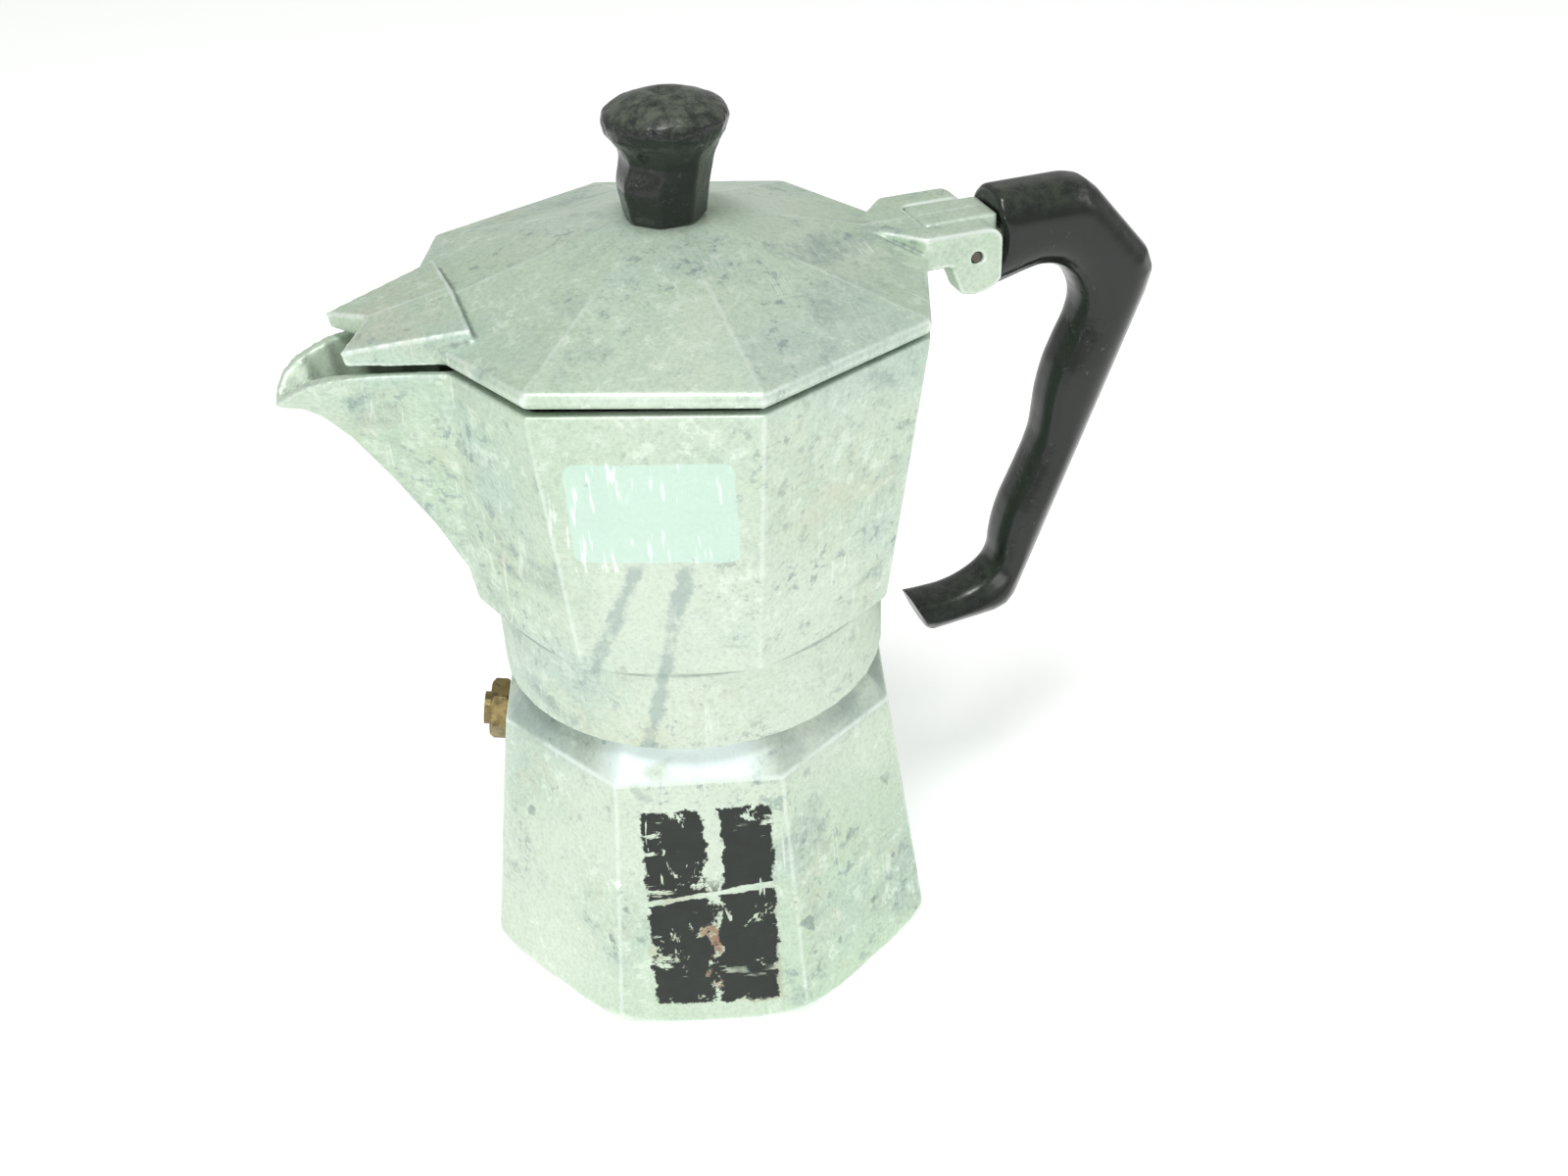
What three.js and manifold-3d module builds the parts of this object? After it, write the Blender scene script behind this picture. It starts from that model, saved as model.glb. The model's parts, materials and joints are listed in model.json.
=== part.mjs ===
// Octagonal stove-top moka pot: boiler, coffee funnel, gasket and filter plate,
// collector with spout and riser column, hinged lid with knob, and handle.
// Millimetres, +Z up. The origin is the centre of the boiler's base. The spout
// points to -X and the handle to +X.
import * as THREE from 'three';
import { mergeVertices } from 'three/addons/utils/BufferGeometryUtils.js';
import Module from 'manifold-3d';

const wasm = await Module();
wasm.setup();

// ---------------------------------------------------------------- sizes
const SIDES = 8;                      // facets on the boiler, collector, lid and knob
const ROUND = 40;                     // segments on large turned surfaces
const SMALL = 16;                     // segments on small turned surfaces
const SEAT_GAP = 0.3;                 // between pieces that rest on each other
const SLIDE_GAP = 0.4;                // between pieces that slide past each other
const OVERCUT = 1;                    // how far a cutting solid runs past the face it cuts

const NECK_BORE_R = 28.7;             // every width of the pot follows this one
const NECK_WALL = 2.1;
const NECK_HEIGHT = 12.8;             // above the shoulder
const THREAD_PITCH = 3.0;
const THREAD_HEIGHT = 0.7;
const THREAD_TURNS = 2.5;
const THREAD_START = 3.0;             // from the shoulder to the first turn's centre

const BOILER_FACET_TOP = 51.7;
const BOILER_DRAFT = 7.7;             // how much wider the base is than the facets' top
const BOILER_TWIST = 5.1;             // degrees the boiler's corners stand past the collector's
const BOILER_WALL = 2.8;
const BOILER_FLOOR = 3.0;
const BASE_CHAMFER = 2.6;
const SHOULDER_MARGIN = 1.4;          // the shoulder's corners past the neck
const SHOULDER_WIDTH = 5.1;
const SHOULDER_RISE = 5.9;

const FUNNEL_WALL = 0.8;
const FUNNEL_FLANGE = 1.7;            // how far the flange laps onto the neck
const FUNNEL_CUP_DEPTH = 21;
const FUNNEL_CONE_DEPTH = 7;
const FUNNEL_TUBE_R = 4.6;
const FUNNEL_FOOT_CLEARANCE = 6;      // from the tube's end to the boiler's floor
const PLATE_HOLE_R = 1.1;
const FUNNEL_PLATE_LEDGE = 2.0;       // width of the step that carries the funnel's plate

const GASKET_THICK = 2.6;
const GASKET_INSET = 3.1;             // the gasket's bore inside the neck's
const FILTER_INSET = 1.1;             // the filter plate's edge inside the neck's bore
const FILTER_THICK = 0.8;

const SKIRT_WALL = 2.6;
const SKIRT_CLEARANCE = 0.8;          // from the shoulder to the skirt's lower edge
const COLLECTOR_STEP = 3.6;           // the facets' lower corners past the skirt
const COLLECTOR_FLARE = 7.1;          // how much wider the rim is than the facets' foot
const COLLECTOR_HEIGHT = 50.0;
const COLLECTOR_WALL = 2.6;
const TURNED_EDGE_RISE = 1.5;         // height of the cone turned under the facets
const FLOOR_OUTER_RISE = 3.7;         // the floor's height over the facets' foot, at the wall
const FLOOR_CENTRE_RISE = 8.4;
const FLOOR_CONE_THICK = 3.0;
const BOSS_R = 8.6;
const BOSS_RISE = 12.9;

const COLUMN_R = 5.0;
const COLUMN_BORE_R = 3.3;
const COLUMN_COLLAR_R = 7.4;
const COLUMN_SHANK = 5.5;
const COLUMN_HEADROOM = 9.1;          // from the column's top to the rim
const COLUMN_WINDOW_HEIGHT = 4.5;

const SPOUT_WALL = 1.9;
const SPOUT_REACH = 19.1;             // from the rim's corners to the tip

const LID_OVERHANG = 0.2;
const LID_RIM_THICK = 2.6;
const LID_DRAFT = 0.8;                // how far the rim draws in towards its lower edge
const LID_SHEET = 1.8;
const LID_RISE = 10.3;                // from the rim's upper edge to the knob's seat
const LID_SEAT_R = 8.5;
const LID_REST_TILT = 0.5;            // degrees the lid stands open at rest

const TAB_ROOT_HALF = 13.0;
const TAB_TIP_HALF = 7.7;
const TAB_REACH = 8.6;                // from the lid's corners to the tab's tips
const TAB_NOTCH = 5.6;
const TAB_TIP_THICK = 2.5;            // at the prongs' tips
const TAB_SLOPE = 11;                 // degrees the tab's top falls towards the spout

const PIN_OUT = 5.2;                  // from the collector's corner to the hinge pin
const PIN_RISE = 1.1;                 // from the rim to the pin
const PIN_R = 0.85;
const PIN_RECESS = 0.6;
const ARM_RISE = 4.9;                 // the arm's top above the pin
const ARM_HALF = 10.2;
const ARM_TAPER_LENGTH = 9.3;
const ARM_SHOULDER_BACK = 9.4;        // from the pin to where the arm's full width begins
const ARM_END_OUT = 4.9;              // from the pin to the arm's end
const ARM_CHAMFER = 0.7;
const LUG_HALF = 4.6;
const LUG_END_R = 8.4;                // the lug's rounded end, about the pin
const LUG_END_OUT = 6.3;              // from the pin to the lug's flat end
const KNUCKLE_R = 6.7;
const KNUCKLE_FLAT_BACK = 4.4;
const TONGUE_HALF = 3.2;
const TONGUE_THICK = 5.1;
const TONGUE_RISE = 1.4;              // the tongue's top above the pin
const TONGUE_LENGTH = 19.6;           // from the pin

const HANDLE_HALF = 6.5;
const HANDLE_EDGE = 1.8;              // roundness of the handle's long edges
const HANDLE_FRONT_OUT = 6.8;         // from the pin to the handle's front face
const HANDLE_RISE = 7.8;              // the handle's top above the pin
const HANDLE_SCREW_OUT = 13.6;
const HANDLE_SCREW_R = 1.3;
const HANDLE_SCREW_HEAD_R = 2.6;
const HANDLE_SCREW_HEAD = 1.4;
const HANDLE_SCREW_COVER = 2.0;       // Bakelite between the tongue and the screw's head

const KNOB_HEIGHT = 19.6;
const KNOB_BASE_R = 6.8;
const KNOB_CAP_R = 10.1;
const KNOB_SCREW_R = 1.5;
const KNOB_SCREW_HEAD_R = 3.3;
const KNOB_SCREW_HEAD = 2.0;
const WASHER_R = 5.2;
const WASHER_THICK = 0.9;

const VALVE_DROP = 8.7;               // from the facets' top to the valve's axis
const VALVE_HEX_R = 5.7;              // to the corners of the hexagon
const VALVE_HEX_THICK = 3.3;
const VALVE_NOSE_R = 3.1;
const VALVE_NOSE = 1.2;
const VALVE_SHANK_R = 4.0;
const VALVE_BORE_R = 2.3;
const VALVE_PORT_R = 1.0;
const VALVE_INNER = 3.4;              // how far the shank reaches inside the boiler's wall
const SPRING_WIRE_R = 0.25;
const SPRING_COILS = 3;

// ---------------------------------------------------------------- fits
// Radii of eight-sided shapes are to their corners.
const neckR = NECK_BORE_R + NECK_WALL;
const shoulderR = neckR + SHOULDER_MARGIN;
const boilerTopR = shoulderR + SHOULDER_WIDTH;
const boilerBaseR = boilerTopR + BOILER_DRAFT;
const shoulderTop = BOILER_FACET_TOP + SHOULDER_RISE;
const neckTop = shoulderTop + NECK_HEIGHT;
const threadCrestR = neckR + THREAD_HEIGHT;
const skirtBoreR = threadCrestR + SLIDE_GAP;
const skirtR = skirtBoreR + SKIRT_WALL;
const skirtBottom = shoulderTop + SKIRT_CLEARANCE;
const funnelFlangeR = NECK_BORE_R + FUNNEL_FLANGE;
const funnelFlangeZ = neckTop + SEAT_GAP;
const funnelTop = funnelFlangeZ + FUNNEL_WALL;
const funnelCupR = NECK_BORE_R - SLIDE_GAP;
const funnelCupBottom = funnelTop - FUNNEL_CUP_DEPTH;
const funnelConeBottom = funnelCupBottom - FUNNEL_CONE_DEPTH;
const funnelPlateR = funnelCupR - FUNNEL_WALL - SEAT_GAP;
const funnelPlateZ = funnelCupBottom + FUNNEL_WALL + SEAT_GAP;
const gasketBoreR = NECK_BORE_R - GASKET_INSET;
const gasketR = skirtBoreR - SLIDE_GAP;
const gasketZ = funnelTop + SEAT_GAP;
const filterR = NECK_BORE_R - FILTER_INSET;
const filterZ = gasketZ + GASKET_THICK + SEAT_GAP;
const filterSeatZ = filterZ + FILTER_THICK + SEAT_GAP;
const filterRecessR = filterR + SEAT_GAP;
const collectorLow = filterSeatZ + SEAT_GAP;
const collectorRim = collectorLow + COLLECTOR_HEIGHT;
const collectorLowR = skirtR + COLLECTOR_STEP;
const collectorRimR = collectorLowR + COLLECTOR_FLARE;
const floorOuterTop = collectorLow + FLOOR_OUTER_RISE;
const floorCentreTop = collectorLow + FLOOR_CENTRE_RISE;
const bossTop = collectorLow + BOSS_RISE;
const columnFitR = COLUMN_R + SEAT_GAP;
const columnFootZ = bossTop + SEAT_GAP - COLUMN_SHANK;
const columnTop = collectorRim - COLUMN_HEADROOM;
const lidRimR = collectorRimR + LID_OVERHANG;
const lidBottom = collectorRim + SEAT_GAP;
const lidRimTop = lidBottom + LID_RIM_THICK;
const lidSeatZ = lidRimTop + LID_RISE;
const pinX = collectorRimR + PIN_OUT;
const pinZ = collectorRim + PIN_RISE;
const pinHoleR = PIN_R + SEAT_GAP;
const armTop = pinZ + ARM_RISE;
const armShoulderX = pinX - ARM_SHOULDER_BACK;
const armEndX = pinX + ARM_END_OUT;
const slotHalf = LUG_HALF + SEAT_GAP;
const slotEndR = LUG_END_R + SEAT_GAP;
const lugEndX = pinX + LUG_END_OUT;
const tongueEndX = pinX + TONGUE_LENGTH;
const tongueHigh = pinZ + TONGUE_RISE;
const tongueLow = tongueHigh - TONGUE_THICK;
const handleClearR = KNUCKLE_R + 2 * SLIDE_GAP;
const handleScrewX = pinX + HANDLE_SCREW_OUT;
const handleScrewHeadTop = tongueLow - HANDLE_SCREW_COVER;
const knobZ = lidSeatZ + SEAT_GAP;
const knobHoleTop = knobZ + 0.62 * KNOB_HEIGHT;
const screwBoreR = KNOB_SCREW_R + SEAT_GAP;
const washerTop = lidSeatZ - LID_SHEET - SEAT_GAP;

// ---------------------------------------------------------------- helpers
function degrees(angle) {
  return THREE.MathUtils.degToRad(angle);
}

// A closed three.js geometry as a solid, without the seams and the
// zero-area triangles that revolved shapes have on their axis.
function solid(geometry) {
  const bare = new THREE.BufferGeometry();
  bare.setAttribute('position', geometry.getAttribute('position'));
  bare.setIndex(geometry.getIndex());
  const merged = mergeVertices(bare, 1e-4);
  const index = merged.getIndex().array;
  const kept = [];
  for (let i = 0; i < index.length; i += 3) {
    const [a, b, c] = index.slice(i, i + 3);
    if (a !== b && b !== c && c !== a) {
      kept.push(a, b, c);
    }
  }
  return new wasm.Manifold(new wasm.Mesh({
    numProp: 3,
    vertProperties: new Float32Array(merged.getAttribute('position').array),
    triVerts: new Uint32Array(kept),
  }));
}

// Turned about Z. The outline is a list of [radius, height] that runs
// anticlockwise: up the outside and down the inside.
function turned(outline, segments = ROUND, turn = 0) {
  const points = outline.map(([radius, height]) => new THREE.Vector2(radius, height));
  const closed = outline[0][0] === 0 && outline[outline.length - 1][0] === 0;
  if (!closed) {
    points.push(points[0].clone());
  }
  const geometry = new THREE.LatheGeometry(points, segments);
  geometry.rotateX(Math.PI / 2);
  geometry.rotateZ(turn);
  return solid(geometry);
}

// An outline in the X-Z plane, given thickness along Y and centred on y = 0.
function slab(shape, thickness, curveSegments = 8) {
  const geometry = new THREE.ExtrudeGeometry(shape, {
    depth: thickness, bevelEnabled: false, curveSegments,
  });
  geometry.translate(0, 0, -thickness / 2);
  geometry.rotateX(Math.PI / 2);
  return solid(geometry);
}

// An outline in the X-Y plane, raised from one height to another.
function plate(shape, low, high) {
  const geometry = new THREE.ExtrudeGeometry(shape, { depth: high - low, bevelEnabled: false });
  geometry.translate(0, 0, low);
  return solid(geometry);
}

function polygon(points) {
  return new THREE.Shape(points.map(([x, y]) => new THREE.Vector2(x, y)));
}

// A rectangular block from its lowest to its highest corner.
function block(low, high) {
  const size = high.map((value, axis) => value - low[axis]);
  const geometry = new THREE.BoxGeometry(...size);
  geometry.translate(...low.map((value, axis) => value + size[axis] / 2));
  return solid(geometry);
}

// A round bar along Y.
function crossBar(radius, halfLength, x, z, segments = SMALL) {
  const geometry = new THREE.CylinderGeometry(radius, radius, 2 * halfLength, segments);
  geometry.translate(x, 0, z);
  return solid(geometry);
}

// A helix about Z with a small polygon section: thread ridges, grooves and springs.
class Helix extends THREE.Curve {
  constructor(radius, pitch, turns, startZ) {
    super();
    Object.assign(this, { radius, pitch, turns, startZ });
  }

  getPoint(t) {
    const angle = 2 * Math.PI * this.turns * t;
    const z = this.startZ + this.pitch * this.turns * t;
    return new THREE.Vector3(this.radius * Math.cos(angle), this.radius * Math.sin(angle), z);
  }
}

function coil(radius, pitch, turns, startZ, sectionR, sectionSides, stepsPerTurn) {
  const section = new THREE.Shape();
  for (let i = 0; i < sectionSides; i += 1) {
    const angle = (2 * Math.PI * i) / sectionSides;
    const point = [sectionR * Math.cos(angle), sectionR * Math.sin(angle)];
    if (i === 0) {
      section.moveTo(...point);
    } else {
      section.lineTo(...point);
    }
  }
  const geometry = new THREE.ExtrudeGeometry(section, {
    extrudePath: new Helix(radius, pitch, turns, startZ),
    steps: Math.round(turns * stepsPerTurn),
    bevelEnabled: false,
  });
  return solid(geometry);
}

function material(color, roughness, metalness) {
  return new THREE.MeshStandardMaterial({ color, roughness, metalness });
}

const pot = new THREE.Group();

// Adds one named piece, in the group given or in the pot itself.
function add(name, piece, finish, parent = pot) {
  const mesh = piece.getMesh();
  const geometry = new THREE.BufferGeometry();
  geometry.setAttribute('position', new THREE.BufferAttribute(new Float32Array(mesh.vertProperties), 3));
  geometry.setIndex(new THREE.BufferAttribute(new Uint32Array(mesh.triVerts), 1));
  geometry.computeVertexNormals();
  const node = new THREE.Mesh(geometry, finish);
  node.name = name;
  parent.add(node);
}

const castAluminium = () => material(0xc8d8c8, 0.55, 0.8);
const sheetAluminium = () => material(0xb9bfba, 0.4, 0.9);
const steel = () => material(0x9a9c9e, 0.35, 1.0);
const brass = () => material(0xa98b4e, 0.45, 0.9);
const bakelite = () => material(0x1c1815, 0.35, 0.0);
const rubber = () => material(0xd8cfb8, 0.8, 0.0);

// ---------------------------------------------------------------- boiler
const facetSlope = -BOILER_DRAFT / BOILER_FACET_TOP;
const boilerTurn = degrees(BOILER_TWIST);
const boilerRadiusAt = (z) => boilerBaseR + facetSlope * z;
const valveZ = BOILER_FACET_TOP - VALVE_DROP;

// The facet that faces between the spout and the far side carries the valve.
const valveAngle = degrees(180 - 180 / SIDES + BOILER_TWIST);
const facetInset = Math.cos(Math.PI / SIDES);
const valveTilt = Math.atan(-facetSlope * facetInset);

// A frame with its Z axis along the valve, pointing out of the boiler, and
// its origin on the outside of the facet.
function valveFrame() {
  const reach = boilerRadiusAt(valveZ) * facetInset;
  const frame = new THREE.Group();
  frame.position.set(reach * Math.cos(valveAngle), reach * Math.sin(valveAngle), valveZ);
  frame.rotation.order = 'ZYX';
  frame.rotation.set(0, Math.PI / 2 - valveTilt, valveAngle);
  frame.updateMatrixWorld();
  return frame;
}

function inValveFrame(piece) {
  const matrix = valveFrame().matrixWorld;
  return piece.transform(matrix.toArray());
}

function boiler() {
  const facets = turned([
    [0, 0], [boilerBaseR, 0], [boilerTopR, BOILER_FACET_TOP],
    [shoulderR, shoulderTop], [0, shoulderTop],
  ], SIDES, boilerTurn);
  const turnedBase = turned([
    [0, 0], [boilerBaseR - BASE_CHAMFER, 0], [boilerBaseR + OVERCUT, BASE_CHAMFER + OVERCUT],
    [boilerBaseR + OVERCUT, neckTop], [0, neckTop],
  ]);
  const neck = turned([[0, BOILER_FACET_TOP], [neckR, BOILER_FACET_TOP], [neckR, neckTop], [0, neckTop]]);
  const ridge = coil(neckR, THREAD_PITCH, THREAD_TURNS, shoulderTop + THREAD_START, THREAD_HEIGHT, 4, 28);
  const hollow = turned([
    [0, BOILER_FLOOR], [boilerRadiusAt(BOILER_FLOOR) - BOILER_WALL, BOILER_FLOOR],
    [boilerTopR - BOILER_WALL, BOILER_FACET_TOP - BOILER_WALL / 2],
    [NECK_BORE_R, shoulderTop - BOILER_WALL / 2], [0, shoulderTop - BOILER_WALL / 2],
  ], SIDES, boilerTurn);
  const bore = turned([
    [0, BOILER_FACET_TOP - BOILER_WALL], [NECK_BORE_R, BOILER_FACET_TOP - BOILER_WALL],
    [NECK_BORE_R, neckTop + OVERCUT], [0, neckTop + OVERCUT],
  ]);
  const valveHoleR = VALVE_SHANK_R + SEAT_GAP;
  const valveHole = inValveFrame(turned([
    [0, -VALVE_INNER - BOILER_WALL], [valveHoleR, -VALVE_INNER - BOILER_WALL],
    [valveHoleR, OVERCUT], [0, OVERCUT],
  ], SMALL));
  return facets.intersect(turnedBase).add(neck).add(ridge).subtract(hollow).subtract(bore).subtract(valveHole);
}

add('boiler', boiler(), castAluminium());

// ---------------------------------------------------------------- safety valve
// Heights are along the valve's axis: 0 on the facet, positive outwards.
const valveBack = -BOILER_WALL - VALVE_INNER;
const valveSeat = valveBack + 1.6;
const valveNoseEnd = SEAT_GAP + VALVE_HEX_THICK + VALVE_NOSE;
const retainerThick = 1.0;
const retainerBack = valveNoseEnd - retainerThick;
const plungerHead = 1.4;
const plungerHeadTop = valveSeat + SEAT_GAP + plungerHead;
const plungerStemR = 0.9;

function valveBody() {
  const shank = turned([
    [0, valveBack], [VALVE_SHANK_R, valveBack], [VALVE_SHANK_R, OVERCUT], [0, OVERCUT],
  ], SMALL);
  const hexagon = turned([
    [0, SEAT_GAP], [VALVE_HEX_R, SEAT_GAP], [VALVE_HEX_R, SEAT_GAP + VALVE_HEX_THICK],
    [0, SEAT_GAP + VALVE_HEX_THICK],
  ], 6);
  const corner = 0.7;
  const rounded = turned([
    [0, 0], [VALVE_HEX_R - corner, 0], [VALVE_HEX_R, corner],
    [VALVE_HEX_R, SEAT_GAP + VALVE_HEX_THICK - corner],
    [VALVE_HEX_R - corner, SEAT_GAP + VALVE_HEX_THICK], [0, SEAT_GAP + VALVE_HEX_THICK],
  ], 24);
  const nose = turned([[0, 0], [VALVE_NOSE_R, 0], [VALVE_NOSE_R, valveNoseEnd], [0, valveNoseEnd]], SMALL);
  const bore = turned([
    [0, valveSeat], [VALVE_BORE_R, valveSeat], [VALVE_BORE_R, valveNoseEnd + OVERCUT],
    [0, valveNoseEnd + OVERCUT],
  ], SMALL);
  const port = turned([
    [0, valveBack - OVERCUT], [VALVE_PORT_R, valveBack - OVERCUT], [VALVE_PORT_R, valveSeat + OVERCUT],
    [0, valveSeat + OVERCUT],
  ], SMALL);
  return shank.add(hexagon.intersect(rounded)).add(nose).subtract(bore).subtract(port);
}

function valvePlunger() {
  const headR = VALVE_BORE_R - SEAT_GAP;
  const stemEnd = valveNoseEnd - 0.4;
  return turned([
    [0, valveSeat + SEAT_GAP], [headR, valveSeat + SEAT_GAP], [headR, plungerHeadTop],
    [plungerStemR, plungerHeadTop], [plungerStemR, stemEnd], [0, stemEnd],
  ], SMALL);
}

function valveRetainer() {
  const innerR = plungerStemR + SEAT_GAP;
  const outerR = VALVE_BORE_R - SEAT_GAP;
  return turned([
    [innerR, retainerBack], [outerR, retainerBack], [outerR, valveNoseEnd], [innerR, valveNoseEnd],
  ], SMALL);
}

function valveSpring() {
  const low = plungerHeadTop + SEAT_GAP + SPRING_WIRE_R;
  const high = retainerBack - SEAT_GAP - SPRING_WIRE_R;
  const middleR = (plungerStemR + VALVE_BORE_R) / 2;
  return coil(middleR, (high - low) / SPRING_COILS, SPRING_COILS, low, SPRING_WIRE_R, 5, 12);
}

const valve = valveFrame();
pot.add(valve);
add('valve_body', valveBody(), brass(), valve);
add('valve_plunger', valvePlunger(), steel(), valve);
add('valve_spring', valveSpring(), steel(), valve);
add('valve_retainer', valveRetainer(), brass(), valve);

// ---------------------------------------------------------------- funnel
// Six-sided holes on rings round a centre hole, all through a plate.
function drilled(piece, outerR, low, high) {
  const rings = 3;
  const spacing = (outerR - 2 * PLATE_HOLE_R) / (rings + 0.5);
  let result = piece;
  for (let ring = 0; ring <= rings; ring += 1) {
    const count = ring === 0 ? 1 : 6 * ring;
    for (let i = 0; i < count; i += 1) {
      const angle = (2 * Math.PI * i) / count;
      const hole = turned([
        [0, low - OVERCUT], [PLATE_HOLE_R, low - OVERCUT], [PLATE_HOLE_R, high + OVERCUT], [0, high + OVERCUT],
      ], 6).translate([ring * spacing * Math.cos(angle), ring * spacing * Math.sin(angle), 0]);
      result = result.subtract(hole);
    }
  }
  return result;
}

function funnel() {
  const tubeEnd = BOILER_FLOOR + FUNNEL_FOOT_CLEARANCE;
  const cupInnerR = funnelCupR - FUNNEL_WALL;
  const ledgeR = cupInnerR - FUNNEL_PLATE_LEDGE;
  const tubeInnerR = FUNNEL_TUBE_R - FUNNEL_WALL;
  return turned([
    [tubeInnerR, tubeEnd], [FUNNEL_TUBE_R, tubeEnd], [FUNNEL_TUBE_R, funnelConeBottom],
    [ledgeR, funnelCupBottom - FUNNEL_WALL], [funnelCupR, funnelCupBottom],
    [funnelCupR, funnelFlangeZ], [funnelFlangeR, funnelFlangeZ], [funnelFlangeR, funnelTop],
    [cupInnerR, funnelTop], [cupInnerR, funnelCupBottom + FUNNEL_WALL],
    [ledgeR, funnelCupBottom + FUNNEL_WALL], [tubeInnerR, funnelConeBottom + 2 * FUNNEL_WALL],
  ]);
}

function funnelPlate() {
  const top = funnelPlateZ + FUNNEL_WALL;
  const disc = turned([[0, funnelPlateZ], [funnelPlateR, funnelPlateZ], [funnelPlateR, top], [0, top]]);
  return drilled(disc, funnelPlateR, funnelPlateZ, top);
}

add('funnel', funnel(), sheetAluminium());
add('funnel_plate', funnelPlate(), sheetAluminium());

// ---------------------------------------------------------------- gasket and filter plate
function gasket() {
  const top = gasketZ + GASKET_THICK;
  return turned([[gasketBoreR, gasketZ], [gasketR, gasketZ], [gasketR, top], [gasketBoreR, top]]);
}

function filterPlate() {
  const top = filterZ + FILTER_THICK;
  const disc = turned([[0, filterZ], [filterR, filterZ], [filterR, top], [0, top]]);
  return drilled(disc, gasketBoreR, filterZ, top);
}

add('gasket', gasket(), rubber());
add('filter_plate', filterPlate(), sheetAluminium());

// ---------------------------------------------------------------- collector
const collectorSlope = COLLECTOR_FLARE / COLLECTOR_HEIGHT;
const collectorRadiusAt = (z) => collectorLowR + collectorSlope * (z - collectorLow);

// The spout's sections, from inside the collector to the tip. Each one is
// [how far out the rim is, its half width, its drop, how far out the keel is,
// its drop]. Outward distances are from the rim's corners, and the keel's drop
// is a fraction of the facets' height. The first stands inside the wall.
const spoutSections = [
  [-9.2, 15.7, 0, -9.2, 0.972],
  [-5.6, 14.2, 0, -5.6, 0.832],
  [-1.7, 12.2, 0.1, -2.0, 0.662],
  [4.3, 10.0, 0.2, 3.6, 0.454],
  [9.8, 8.2, 0.5, 8.8, 0.282],
  [14.3, 6.6, 1.6, 12.6, 0.190],
  [17.0, 5.0, 3.2, 15.4, 0.150],
  [18.5, 2.8, 5.0, 17.4, 0.140],
  [SPOUT_REACH, 0.8, 6.4, SPOUT_REACH - 0.3, 0.138],
].map(([rimOut, half, rimDrop, keelOut, keelDrop]) => [
  -collectorRimR - rimOut, half, collectorRim - rimDrop,
  -collectorRimR - keelOut, collectorRim - keelDrop * COLLECTOR_HEIGHT,
]);

// Skins a row of four-cornered sections: two rim corners and two keel corners.
function loft(sections) {
  const positions = sections.flat(2);
  const index = [];
  for (let i = 0; i + 1 < sections.length; i += 1) {
    for (let j = 0; j < 4; j += 1) {
      const a = 4 * i + j;
      const b = 4 * i + ((j + 1) % 4);
      index.push(a, b + 4, b, a, a + 4, b + 4);
    }
  }
  const last = 4 * (sections.length - 1);
  index.push(0, 1, 2, 0, 2, 3, last, last + 2, last + 1, last, last + 3, last + 2);
  const geometry = new THREE.BufferGeometry();
  geometry.setAttribute('position', new THREE.Float32BufferAttribute(positions, 3));
  geometry.setIndex(index);
  return solid(geometry);
}

function spoutSolid() {
  const keelHalf = 1.4;
  return loft(spoutSections.map(([rimX, half, rimZ, keelX, keelZ]) => {
    const foot = Math.min(keelHalf, half * 0.8);
    return [[rimX, half, rimZ], [rimX, -half, rimZ], [keelX, -foot, keelZ], [keelX, foot, keelZ]];
  }));
}

// The channel inside the spout: it opens upwards along the rim, into the
// collector at the root and out over the lip at the tip.
function spoutChannel() {
  const lipDepth = 0.9;
  const rise = 4;
  return loft(spoutSections.map(([rimX, half, rimZ, keelX, keelZ], i) => {
    const fullWall = i + 3 < spoutSections.length;
    const wall = fullWall ? SPOUT_WALL : lipDepth;
    const inner = Math.max(half - wall, 0.5);
    const edge = Math.max(Math.min(inner * 0.8, 0.9), 0.3);
    const flare = rise * (half / (rimZ - keelZ + half));
    const low = Math.max(keelZ + wall * 1.6, floorCentreTop + OVERCUT);
    const root = i === 0 ? 8 : 0;
    const past = i + 1 === spoutSections.length ? -OVERCUT : 0;
    const x = rimX + root + past;
    return [
      [x, inner + flare, Math.max(rimZ, low) + rise], [x, -inner - flare, Math.max(rimZ, low) + rise],
      [keelX + root + past, -edge, low], [keelX + root + past, edge, low],
    ];
  }));
}

function lug() {
  const rounded = crossBar(LUG_END_R, LUG_HALF + OVERCUT, pinX, pinZ, 40);
  const body = block(
    [pinX, -LUG_HALF - OVERCUT, pinZ - LUG_END_R], [lugEndX + OVERCUT, LUG_HALF + OVERCUT, pinZ + LUG_END_R],
  );
  const trimmed = block(
    [collectorRimR - COLLECTOR_WALL, -LUG_HALF, tongueLow], [lugEndX, LUG_HALF, armTop],
  );
  const tongue = block([pinX, -TONGUE_HALF, tongueLow], [tongueEndX, TONGUE_HALF, tongueHigh]);
  const pinHole = crossBar(pinHoleR, LUG_HALF + OVERCUT, pinX, pinZ);
  const screwHole = turned([
    [0, tongueLow - OVERCUT], [HANDLE_SCREW_R + SEAT_GAP, tongueLow - OVERCUT],
    [HANDLE_SCREW_R + SEAT_GAP, tongueHigh + OVERCUT], [0, tongueHigh + OVERCUT],
  ], SMALL).translate([handleScrewX, 0, 0]);
  return rounded.add(body).intersect(trimmed).add(tongue).subtract(pinHole).subtract(screwHole);
}

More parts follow.
